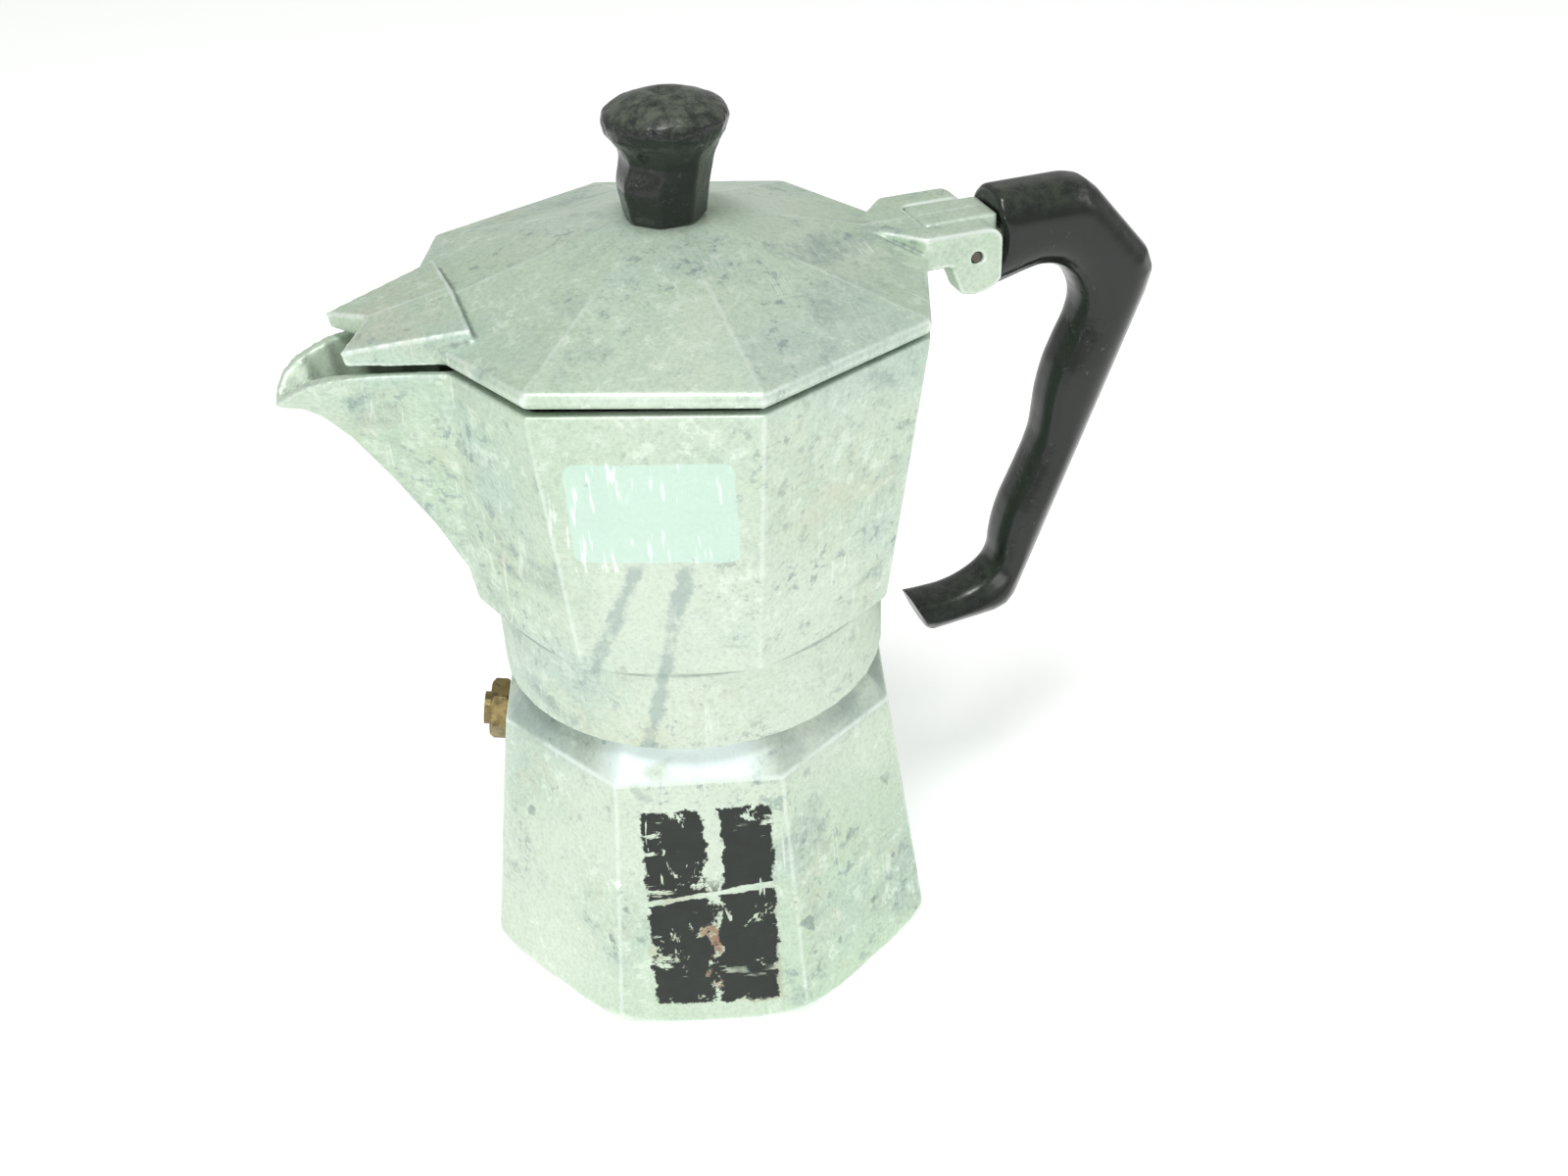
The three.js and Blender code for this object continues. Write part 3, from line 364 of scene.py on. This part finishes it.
def scratches(t):
    """Thin straight bright lines in three directions, few and broken up."""
    total = None
    for turn, seed in (((0.2, 0.1, 0.5), 3.0), ((0.9, 0.4, 1.9), 7.0), ((-0.5, 0.8, 1.1), 11.0)):
        line = t.noise(1.0 + seed * 0.1, 0, 0.4, place=t.stretch((420, 5, 9), turn=turn))
        thin = t.ramp(t.distance(line, 0.5), 0.02, 0.006)
        broken = t.ramp(t.noise(30 + seed, 4, 0.6), 0.60, 0.66)
        thin = t.times(thin, broken)
        total = thin if total is None else t.larger(total, thin)
    return total


# The castings' sizes that the marks on them follow, in millimetres, and the
# directions that their front facets face, in degrees.
BOILER_BASE_R = 45.0
BOILER_DRAFT = 7.7
BOILER_FACET_TOP = 51.7
BOILER_TWIST = 5.1
BOILER_FRONT = 252.6
COLLECTOR_FOOT_R = 38.1
COLLECTOR_FOOT = 76.1
COLLECTOR_FLARE = 7.1
COLLECTOR_HEIGHT = 50.0
COLLECTOR_FRONT = 247.5
FACET_INSET = math.cos(math.pi / 8)     # a facet's distance over its corners' radius

# The boiler's front facet carries the worn black panel, and the collector's
# the pale patch that a label left. Left, right, low and high, in millimetres.
PANEL_BOX = (-10.4, 12.0, 4.5, 46.0)
PANEL_STAIN_BOX = (-11.2, 12.8, 3.8, 30.0)
LABEL_BOX = (-13.0, 12.5, 98.9, 117.7)
LABEL_SCRATCHES_BOX = (-16.5, -4.0, 97.0, 120.0)
SPLIT_HEIGHT = 28.2           # where the split crosses the panel's middle
RUNS_TOP = 98.0               # where the two dark runs start, below the label
FOOT_SHADE_HEIGHT = 74.5           # the painted shade line under the collector's facets
SHOULDER_FOOT = 51.5          # the edge between the boiler's facets and its shoulder
UP = (0, 0, 1)
FRONT_OUT = (-0.383, -0.924, 0)
FRONT_ALONG = (0.924, -0.383, 0)


def boiler_wear_and_painted_light(t, colour, rough, metallic):
    """Painted shade round the shoulder, with a painted highlight on its front, a pale line along the shoulder's
    lower edge, and the black panel."""
    height = t.dot(UP)
    aside = t.math("ABSOLUTE", t.dot(FRONT_ALONG))
    # painted shade round the shoulder's lower edge, away from the front
    shoulder_shade = t.ramp(height, (SHOULDER_FOOT - 2.5) * MM, (SHOULDER_FOOT + 2.5) * MM)
    shoulder_shade = t.times(shoulder_shade, t.ramp(t.noise(60, 5, 0.65), 0.30, 0.62))
    shoulder_shade = t.times(shoulder_shade, t.ramp(aside, 11 * MM, 20 * MM))
    colour = t.stain(colour, shoulder_shade, 0.55, (0.24, 0.31, 0.32))
    # painted highlight on the shoulder's front, above its lower edge
    front = t.ramp(t.dot(FRONT_OUT), 20 * MM, 30 * MM)
    shoulder_highlight = t.times(front, t.ramp(aside, 17 * MM, 9 * MM))
    shoulder = t.ramp(height, (SHOULDER_FOOT - 0.2) * MM, (SHOULDER_FOOT + 0.8) * MM)
    shoulder_highlight = t.times(t.times(shoulder_highlight, shoulder), t.ramp(t.noise(90, 4), 0.28, 0.45))
    colour = t.stain(colour, shoulder_highlight, 0.9, (0.90, 1.0, 1.0))
    edge = t.ramp(t.distance(height, SHOULDER_FOOT * MM), 0.7 * MM, 0.1 * MM)
    edge = t.times(edge, t.ramp(t.noise(110, 4), 0.30, 0.50))
    colour = t.stain(colour, edge, 0.5, (0.88, 0.97, 0.93))
    return black_panel(t, colour, rough, metallic)


def black_panel(t, colour, rough, metallic):
    """Black paint worn through in chips, cracks and long scratches, with a
    rubbed, rusty strip up its middle and a slanting split across it."""
    lean = -BOILER_DRAFT / BOILER_FACET_TOP * FACET_INSET
    facet = (BOILER_FRONT, lean, BOILER_BASE_R * FACET_INSET * MM)
    mask, along, height = facet_patch(t, *facet, PANEL_BOX, 5.0 * MM)
    coarse = t.noise(150, 6, 0.72, warp=0.5)
    chips = t.ramp(coarse, 0.585, 0.605)
    rows = t.noise(120, 5, 0.7, place=t.stretch((0.5, 0.5, 3.0)))
    flakes = t.times(t.ramp(rows, 0.60, 0.62), t.ramp(t.noise(70, 3), 0.50, 0.56))
    columns = t.noise(130, 4, 0.6, place=t.stretch((3.4, 3.4, 0.16)))
    cuts = t.times(t.ramp(columns, 0.64, 0.655), t.ramp(t.noise(52, 3), 0.48, 0.54))
    side = t.sway(t.noise(85, 5, 0.7), 9.0 * MM)
    drift = t.times(t.minus(height, 25 * MM), -0.04)
    middle = t.math("ABSOLUTE", t.plus(t.minus(along, 0.9 * MM), t.plus(side, drift)))
    upper = t.ramp(height, 27 * MM, 33 * MM)
    reach = t.plus(0.9 * MM, t.times(upper, 0.6 * MM))
    strip = t.ramp(t.minus(middle, reach), 0.25 * MM, -0.1 * MM)
    low_wear = t.ramp(t.noise(240, 5, 0.7), 0.44, 0.50)
    strip = t.times(strip, t.larger(upper, low_wear))
    slant = t.times(along, 0.13)
    across = t.distance(t.minus(height, slant), SPLIT_HEIGHT * MM)
    wobble = t.sway(t.noise(110, 5, 0.7), 2.4 * MM)
    split = t.ramp(t.plus(across, wobble), 0.75 * MM, 0.55 * MM)
    bare = t.larger(t.larger(chips, flakes), t.larger(cuts, strip))
    bare = t.larger(bare, split)
    paint = t.times(mask, t.minus(1.0, bare, clamp=True))
    black = t.mix(t.noise(300, 4), (0.013, 0.016, 0.014), (0.030, 0.036, 0.030))
    rust = t.times(t.ramp(middle, 3.2 * MM, 1.2 * MM), t.ramp(height, 27 * MM, 21 * MM))
    rust = t.times(rust, t.ramp(t.noise(190, 5, 0.7), 0.42, 0.52))
    colour = t.stain(colour, t.times(rust, mask), 0.85, (0.26, 0.11, 0.065))
    stain, _, _ = facet_patch(t, *facet, PANEL_STAIN_BOX, 5.0 * MM)
    stain = t.times(stain, t.ramp(t.noise(75, 4), 0.45, 0.60))
    colour = t.stain(colour, stain, 0.35, (0.42, 0.34, 0.20))
    colour = t.mix(paint, colour, black)
    rough = t.plus(t.times(paint, 0.12), rough)
    metallic = t.times(t.minus(1.0, paint), metallic)
    return colour, rough, metallic


def label_ghost_and_foot_shade(t, colour, rough, metallic):
    """A paler, less weathered rectangle, with fine upright scratches and two dark runs below it, and a painted
    shade line under the facets."""
    slope = COLLECTOR_FLARE / COLLECTOR_HEIGHT
    reach = (COLLECTOR_FOOT_R - slope * COLLECTOR_FOOT) * FACET_INSET * MM
    facet = (COLLECTOR_FRONT, slope * FACET_INSET, reach)
    mask, along, height = facet_patch(t, *facet, LABEL_BOX, corner=2.0 * MM)
    fine = t.noise(900, 2, 0.5, place=t.stretch((1, 1, 0.03)))
    lines = t.ramp(fine, 0.60, 0.68)
    mottled = t.ramp(t.noise(70, 4), 0.35, 0.7)
    pale = t.mix(t.times(mottled, 0.5), (0.62, 0.80, 0.71), (0.55, 0.74, 0.67))
    colour = t.stain(colour, mask, 0.72, pale)
    colour = t.stain(colour, t.times(mask, lines), 0.6, (0.90, 1.0, 0.94))
    dots = t.times(t.ramp(t.noise(260, 5, 0.7), 0.58, 0.64), t.ramp(t.noise(60, 3), 0.52, 0.60))
    colour = t.stain(colour, t.times(mask, dots), 0.6, (0.40, 0.52, 0.50))
    around, _, _ = facet_patch(t, *facet, LABEL_SCRATCHES_BOX)
    colour = t.stain(colour, t.times(around, lines), 0.6, (0.90, 0.97, 0.90))
    runs = None
    for centre, drift, width in ((-3.7, 0.40, 1.0), (3.9, 0.23, 0.9)):
        shift = t.times(t.minus(height, RUNS_TOP * MM), drift)
        aside = t.distance(t.minus(along, shift), centre * MM)
        wobble = t.sway(t.noise(210, 6, 0.75), 6.0 * MM)
        run = t.ramp(t.plus(aside, wobble), (width + 0.7) * MM, (width - 0.5) * MM)
        runs = run if runs is None else t.larger(runs, run)
    below = t.ramp(height, (RUNS_TOP + 1) * MM, (RUNS_TOP - 1) * MM)
    runs = t.times(t.times(runs, below), t.ramp(t.noise(90, 5, 0.7), 0.36, 0.50))
    # painted shade: a dark line just under the collector's facets, at their foot
    foot_shade = t.ramp(t.distance(height, FOOT_SHADE_HEIGHT * MM), 0.9 * MM, 0.2 * MM)
    foot_shade = t.times(foot_shade, t.ramp(t.noise(50, 4), 0.30, 0.50))
    colour = t.stain(colour, foot_shade, 0.7, (0.22, 0.29, 0.27))
    front = t.ramp(t.dot((0, -1, 0)), 0.0, 5 * MM)
    colour = t.stain(colour, t.times(runs, front), 0.55, (0.27, 0.35, 0.35))
    return colour, rough, metallic


# ---------------------------------------------------------------- other finishes
def bakelite(name, weathered):
    """Black-brown moulded Bakelite. weathered says how far the gloss is gone: a grey-green bloom on what faces up,
    which on the glossy handle is also a painted sheen along its top, chalky spots and fine pits."""
    t = Tree(name)
    cloud = t.noise(60, 4)
    colour = t.mix(cloud, (0.0048, 0.0070, 0.0058), (0.0105, 0.0140, 0.0110))
    facing = t.add("ShaderNodeSeparateXYZ")
    t.link(t.add("ShaderNodeTexCoord").outputs["Normal"], facing.inputs[0])
    # upward faces are paler: real bloom on the knob, and partly a painted sheen on the handle's top
    upwards = t.ramp(facing.outputs["Z"], 0.1, 0.9)
    bloom_and_painted_sheen = t.times(upwards, t.ramp(t.noise(420, 6, 0.75), 0.34, 0.66))
    colour = t.stain(colour, bloom_and_painted_sheen, 0.15 + 0.6 * weathered, (0.130, 0.150, 0.110))
    chalk = t.ramp(t.noise(520, 5, 0.7), 0.62, 0.70)
    chalk = t.times(chalk, t.ramp(t.noise(80, 3), 0.48, 0.60))
    colour = t.stain(colour, chalk, 0.25 + 0.35 * weathered, (0.17, 0.19, 0.15))
    pale_edges = t.ramp(t.edges(), 0.56, 0.62)
    colour = t.stain(colour, pale_edges, 0.35, (0.055, 0.065, 0.055))
    rough = t.plus(t.times(t.noise(90, 5), 0.25), 0.08 + 0.26 * weathered)
    glazed = t.ramp(facing.outputs["Z"], 0.55, 0.20)
    rough = t.minus(rough, t.times(glazed, 0.22 * weathered))
    pits = t.ramp(t.noise(620, 3, 0.6), 0.42, 0.34)
    pits = t.times(pits, t.ramp(t.noise(110, 3), 0.48, 0.60))
    height = t.minus(t.noise(300, 5, 0.65), t.times(pits, 0.8))
    normal = t.bump(height, 0.08 + 0.75 * weathered, 0.0003)
    t.shader.inputs["Specular IOR Level"].default_value = 0.42
    t.shader.inputs["Coat Weight"].default_value = 0.15
    t.shader.inputs["Coat Roughness"].default_value = 0.22
    return t.finish(colour, rough, normal)


def brass():
    t = Tree("tarnished_brass")
    cloud = t.noise(260, 5, 0.6)
    colour = t.mix(t.ramp(cloud, 0.35, 0.7), (0.36, 0.27, 0.115), (0.17, 0.135, 0.065))
    darkening = t.ramp(t.noise(600, 4), 0.52, 0.62)
    colour = t.stain(colour, darkening, 0.6, (0.09, 0.075, 0.045))
    rough = t.plus(t.times(cloud, 0.3), 0.25)
    return t.finish(colour, rough, t.bump(t.noise(900, 3), 0.2, 0.0002), 0.85)


def steel(name, light, dark):
    t = Tree(name)
    cloud = t.noise(500, 4)
    colour = t.mix(cloud, light, dark)
    rough = t.plus(t.times(cloud, 0.3), 0.25)
    return t.finish(colour, rough, t.bump(t.noise(1500, 3), 0.15, 0.0001), 0.95)


def sheet_aluminium():
    t = Tree("pressed_aluminium")
    rings = t.noise(120, 3, 0.5, place=t.stretch((1, 1, 9)))
    stain = t.noise(70, 5, 0.6)
    colour = t.mix(t.ramp(stain, 0.4, 0.7), (0.62, 0.65, 0.62), (0.40, 0.40, 0.35))
    coffee = t.ramp(t.noise(180, 5, 0.7), 0.6, 0.7)
    colour = t.stain(colour, coffee, 0.5, (0.16, 0.10, 0.06))
    rough = t.plus(t.times(rings, 0.25), 0.22)
    return t.finish(colour, rough, t.bump(rings, 0.15, 0.0002), 0.85)


def rubber():
    t = Tree("gasket_rubber")
    cloud = t.noise(180, 4)
    colour = t.mix(cloud, (0.62, 0.56, 0.45), (0.48, 0.40, 0.30))
    return t.finish(colour, 0.7, t.bump(t.noise(1200, 3), 0.2, 0.0002))


# ---------------------------------------------------------------- pieces
def settled(piece, relax, voxel=None):
    """The piece's mesh after an optional rebuild at a fine pitch and relax
    rounds of smoothing."""
    if voxel is not None:
        rebuild = piece.modifiers.new("rebuild", "REMESH")
        rebuild.mode = "VOXEL"
        rebuild.voxel_size = voxel * MM
    smooth = piece.modifiers.new("relax", "SMOOTH")
    smooth.factor = 0.5
    smooth.iterations = relax
    graph = bpy.context.evaluated_depsgraph_get()
    piece.data = bpy.data.meshes.new_from_object(piece.evaluated_get(graph))
    piece.modifiers.clear()


def refined(node, name, voxel, relax, shape=None, after=0):
    """A copy of a CAD node with rounded, cast-looking edges. shape, if given,
    moves the vertices, and after is the smoothing that follows it."""
    piece = bpy.data.objects.new(name, nodes[node].data.copy())
    bpy.context.scene.collection.objects.link(piece)
    settled(piece, relax, voxel)
    if shape is not None:
        shape(piece.data)
        settled(piece, after)
    piece.data.name = name
    piece.data.shade_smooth()
    piece.data.materials.clear()
    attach(piece, body_of_node[node])
    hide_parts(node)
    return piece


def move_vertices(mesh, rule):
    """Applies rule to the array of vertex places, in millimetres."""
    places = np.empty(len(mesh.vertices) * 3)
    mesh.vertices.foreach_get("co", places)
    places = rule(places.reshape(-1, 3) / MM) * MM
    mesh.vertices.foreach_set("co", places.ravel())
    mesh.update()


def smoothstep(value, low, high):
    t = np.clip((value - low) / (high - low), 0, 1)
    return t * t * (3 - 2 * t)


# How far the handle's long edges are rounded, in millimetres, and how far from
# its middle plane its side view is read: outside the pocket for the lug, and
# inside the small bevel of the CAD handle.
HANDLE_ROUND = 5.6
HANDLE_READ = (4.95, 5.6)
# How far the mouth's end face reaches from the hinge pin, and how high the
# hook's end face reaches above the handle's lowest point.
MOUTH_REACH = 11.5
HOOK_FACE = 8.0
END_FACING = -0.3             # both end faces turn their normals further to -X


def on_end_face(p, normals, low):
    """True for the points on the handle's two end faces, the mouth round the
    hinge pin and the hook's tip, which its long edges don't run along."""
    pin = sum(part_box("hinge_pin"), Vector()) / (2 * MM)
    from_pin = np.hypot(p[:, 0] - pin.x, p[:, 2] - pin.z)
    mouth = (from_pin < MOUTH_REACH) & (normals[:, 0] < END_FACING)
    tip = (p[:, 2] < low[2] / MM + HOOK_FACE) & (normals[:, 0] < END_FACING)
    return mouth | tip


def round_handle(mesh):
    """Rounds the handle's long edges. Every point near an edge is moved onto
    an arc that joins the flat side to the outline."""
    count = len(mesh.vertices)
    normals = np.empty(count * 3)
    mesh.vertices.foreach_get("normal", normals)
    normals = normals.reshape(-1, 3)
    low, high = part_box("handle")
    half = high[1] / MM

    def rule(p):
        off = np.abs(p[:, 1])
        wall = (off > HANDLE_READ[0]) & (off < HANDLE_READ[1]) & (np.abs(normals[:, 1]) < 0.75)
        wall &= ~on_end_face(p, normals, low)
        tree = KDTree(int(wall.sum()))
        flat = normals[wall][:, (0, 2)]
        flat /= np.linalg.norm(flat, axis=1)[:, None]
        edge = p[wall][:, (0, 2)]
        for i, (x, z) in enumerate(edge):
            tree.insert((x, z, 0), i)
        tree.balance()
        for i in np.nonzero(off > half - HANDLE_ROUND)[0]:
            x, z = p[i, 0], p[i, 2]
            _, near, _ = tree.find((x, z, 0))
            depth = max(0.0, float((edge[near] - (x, z)) @ flat[near]))
            if depth >= HANDLE_ROUND:
                continue
            inward = HANDLE_ROUND - depth
            beyond = off[i] - (half - HANDLE_ROUND)
            shrink = HANDLE_ROUND / max(math.hypot(inward, beyond), HANDLE_ROUND)
            move = inward * (1 - shrink)
            p[i, 0] -= flat[near][0] * move
            p[i, 2] -= flat[near][1] * move
            p[i, 1] = math.copysign(half - HANDLE_ROUND + beyond * shrink, p[i, 1])
        return p

    move_vertices(mesh, rule)


def settle_knob(mesh):
    """The knob's heat-softened shape: it leans towards the handle, with a
    hollow and a bulge on the spout's side and a lumpy, pitted cap."""
    low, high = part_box("lid_knob")
    base = low[2] / MM
    tall = (high[2] - low[2]) / MM
    side = np.array([-0.95, -0.3])

    def rule(p):
        up = (p[:, 2] - base) / tall
        facing = np.clip((p[:, :2] @ side) / 7.0, 0, 1.3)
        hollow = 0.9 * np.exp(-((up - 0.50) / 0.13) ** 2)
        bulge = 0.7 * np.exp(-((up - 0.26) / 0.12) ** 2)
        p[:, 0] -= side[0] * facing * (hollow - bulge)
        p[:, 1] -= side[1] * facing * (hollow - bulge)
        lean = 1.2 * np.clip(up, 0, 1) ** 1.3
        p[:, 0] += lean
        p[:, 1] -= 0.3 * lean
        cap = smoothstep(up, 0.5, 0.75)
        for i, point in enumerate(p):
            if cap[i] > 0:
                place = Vector(point)
                lump = noise.noise(place * 0.30) + 0.5 * noise.noise(place * 0.9)
                pit = max(0.0, noise.noise(place * 1.7) - 0.25)
                spread = 1 + (0.030 * lump - 0.05 * pit) * cap[i]
                point[0] = lean[i] + (point[0] - lean[i]) * spread
                point[1] *= spread
        middle = np.hypot(p[:, 0] - lean, p[:, 1])
        p[:, 2] -= 0.7 * np.exp(-(middle / 1.8) ** 2) * cap
        p[:, 2] = np.minimum(p[:, 2], base + tall)
        return p

    move_vertices(mesh, rule)


def dress(node, material):
    data = nodes[node].data
    data.materials.clear()
    data.materials.append(material)


def soften(node, width):
    """A fine bevel on a CAD node's edges, so that they catch the light."""
    bevel = nodes[node].modifiers.new("edge", "BEVEL")
    bevel.width = width * MM
    bevel.segments = 2
    bevel.limit_method = "ANGLE"
    bevel.angle_limit = math.radians(35)


def make_pieces():
    aluminium = cast_aluminium("cast_aluminium")
    boiler_finish = cast_aluminium(
        "boiler_aluminium", boiler_wear_and_painted_light, pitting=0.9, twist=BOILER_TWIST
    )
    collector_finish = cast_aluminium("collector_aluminium", label_ghost_and_foot_shade, foot=76, rubbed=0.25)
    gloss = bakelite("handle_bakelite", 0.15)
    matt = bakelite("knob_bakelite", 0.8)
    metal = brass()
    plain_steel = steel("worn_steel", (0.42, 0.42, 0.40), (0.25, 0.24, 0.22))
    dark_steel = steel("dark_steel", (0.20, 0.18, 0.15), (0.08, 0.065, 0.05))
    sheet = sheet_aluminium()

    castings = (
        ("boiler", "boiler_casting", 0.5, 6, boiler_finish),
        ("collector", "collector_casting", 0.42, 10, collector_finish),
        ("lid", "lid_casting", 0.42, 6, aluminium),
        ("riser_column", "riser_casting", 0.42, 3, aluminium),
    )
    for node, name, voxel, relax, finish in castings:
        piece = refined(node, name, voxel, relax)
        piece.data.materials.append(finish)
    mouldings = (
        ("handle", "handle_moulding", 0.4, 3, round_handle, 20, gloss),
        ("lid_knob", "knob_moulding", 0.3, 16, settle_knob, 2, matt),
    )
    for node, name, voxel, relax, shape, after, finish in mouldings:
        piece = refined(node, name, voxel, relax, shape, after)
        piece.data.materials.append(finish)

    for node, finish, edge in (
        ("valve_body", metal, 0.25),
        ("valve_retainer", metal, 0.1),
        ("valve_plunger", plain_steel, 0.1),
        ("hinge_pin", dark_steel, 0.15),
        ("knob_screw", plain_steel, 0.15),
        ("knob_washer", plain_steel, 0.15),
        ("handle_screw", plain_steel, 0.15),
        ("funnel", sheet, 0.2),
        ("funnel_plate", sheet, 0),
        ("filter_plate", sheet, 0),
        ("gasket", rubber(), 0.4),
    ):
        dress(node, finish)
        if edge:
            soften(node, edge)
    make_spring(plain_steel)


def make_spring(finish):
    """The valve's spring, a copy of the CAD coil attached to its body; it does not shorten as the plunger lifts.
    """
    joint = next(j for j in frame["joints"] if j["name"] == "valve_slide")
    axis = Vector(joint["axis"]).normalized()
    spring = bpy.data.objects.new("spring_coil", nodes["valve_spring"].data.copy())
    bpy.context.scene.collection.objects.link(spring)
    spring.data.materials.clear()
    spring.data.materials.append(finish)
    along = [vertex.co.dot(axis) for vertex in spring.data.vertices]
    low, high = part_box("valve_spring")
    centre = (low + high) / 2
    anchor = centre + axis * (max(along) - centre.dot(axis))
    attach(spring, body_of_node["valve_spring"])
    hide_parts("valve_spring")
    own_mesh(spring)


make_camera()
make_studio()
make_floor()
make_pieces()
